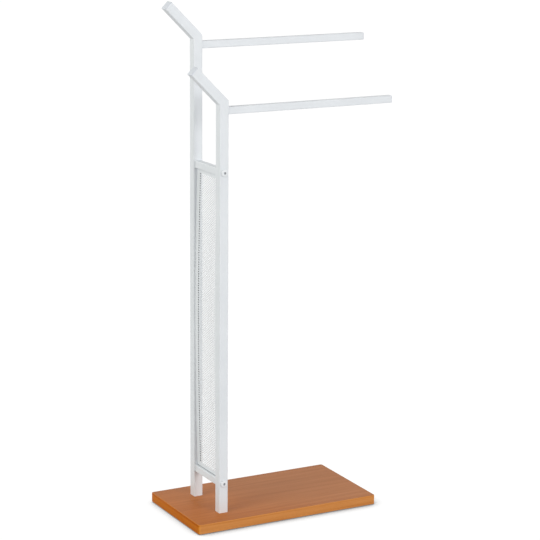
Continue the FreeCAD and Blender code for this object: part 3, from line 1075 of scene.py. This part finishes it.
# Light: the even surround, and softboxes aimed at the stand (name, place, aim, width,
# height, share of full brightness, tint)
WORLD_LIGHT = (0.44, 0.44, 0.44)
FILL_TINT = (0.985, 1.0, 0.935)
STAND_MIDDLE = (-0.05, 0.0, 0.45)
UPRIGHTS_MIDDLE = (-0.12, 0.0, 0.45)
SOFTBOXES = [
    ("key_softbox", (1.50, -5.60, 1.50), STAND_MIDDLE, 2.4, 3.0, 0.49, WHITE),
    ("fill_softbox", (-4.60, -0.80, 2.80), UPRIGHTS_MIDDLE, 3.0, 3.0, 0.45, FILL_TINT),
    ("back_softbox", (-2.00, 5.40, 2.20), STAND_MIDDLE, 2.4, 3.0, 0.20, WHITE),
    ("right_softbox", (5.50, 0.60, 1.80), STAND_MIDDLE, 2.4, 3.0, 0.08, WHITE),
]


def floor():
    """White floor that keeps the stand's shadow. As a light on the stand it is plain card.
    Where it is seen, a thin share of it is lit and shaded as card, which ends with the
    distance, and the rest glows evenly, less a contact shadow that deepens with a power of
    the share of the near surround that the stand hides from that place. The surround is
    counted about a line leaning to the bright side, where that shadow is narrower."""
    points = np.array([[-1, -1], [1, -1], [1, 1], [-1, 1]]) * FLOOR_REACH
    mesh = bpy.data.meshes.new("studio_floor")
    mesh.from_pydata(np.column_stack([points, np.zeros(4)]).tolist(), [], [[0, 1, 2, 3]])
    plane = bpy.data.objects.new("studio_floor", mesh)
    bpy.context.scene.collection.objects.link(plane)
    finish = Finish("studio_card", Roughness=0.9, Specular_IOR_Level=0.0, Emission_Strength=1.0)
    across, along, _ = finish.axes(finish.places())
    far = ((across * across + along * along) ** 0.5).step(SHADED_NEAR, SHADED_FAR)
    lean = finish.node("CombineXYZ", {}, dict(enumerate(CONTACT_LEAN))).outputs[0]
    surround = {"Distance": CONTACT_REACH, "Normal": lean}
    occlusion = finish.node("AmbientOcclusion", {"samples": CONTACT_SAMPLES}, surround)
    hidden = (1 - CONTACT_FLOOR_SHARE - Signal(finish, occlusion.outputs["AO"])).larger(0.0)
    glow = FLOOR_WHITE - SHADED_SHARE * (1 - far) - hidden**CONTACT_FALL * CONTACT_DEPTH
    seen = finish.seen_directly()
    finish.feed(
        Base_Color=finish.blend(seen, FLOOR_CARD, finish.blend(far, SHADED_CARD, BLACK)),
        Emission_Color=finish.blend(seen, BLACK, glow.larger(CONTACT_DARKEST)),
    )
    mesh.materials.append(finish.material)


def studio_world():
    """Even surround: white where it is seen, softer as a light."""
    world = bpy.data.worlds.new("studio")
    bpy.context.scene.world = world
    shell = Graph(world)
    colour = shell.blend(shell.seen_directly(), WORLD_LIGHT, WHITE)
    surround = shell.node("Background", {}, {"Color": colour, "Strength": 1.0})
    shell.node("OutputWorld", {}, {"Surface": surround.outputs[0]})


def softbox(name, place, aim, width, height, share, tint):
    """Rectangular lamp that adds a share of full brightness to a face turned to it."""
    lamp = bpy.data.lights.new(name, "AREA")
    lamp.color = tint
    lamp.shape = "RECTANGLE"
    lamp.size = width
    lamp.size_y = height
    way = Vector(aim) - Vector(place)
    lamp.energy = share * math.pi**2 * way.length_squared
    box = bpy.data.objects.new(name, lamp)
    box.location = place
    box.rotation_euler = way.to_track_quat("-Z", "Y").to_euler()
    bpy.context.scene.collection.objects.link(box)


def camera():
    """Camera at the photograph's place, turned by its yaw, pitch and roll."""
    lens = bpy.data.cameras.new("camera")
    lens.sensor_width = SENSOR_WIDTH
    lens.lens = FOCAL_PIXELS / PICTURE_PIXELS * SENSOR_WIDTH
    eye = bpy.data.objects.new("camera", lens)
    bpy.context.scene.collection.objects.link(eye)
    yaw = Matrix.Rotation(math.radians(-CAMERA_YAW), 4, "Z")
    pitch = Matrix.Rotation(math.radians(90 - CAMERA_PITCH), 4, "X")
    roll = Matrix.Rotation(math.radians(CAMERA_ROLL), 4, "Z")
    eye.matrix_world = Matrix.Translation(CAMERA_PLACE) @ yaw @ pitch @ roll
    bpy.context.scene.camera = eye


floor()
studio_world()
for lamp_values in SOFTBOXES:
    softbox(*lamp_values)
camera()
bpy.context.scene.view_settings.view_transform = "Standard"
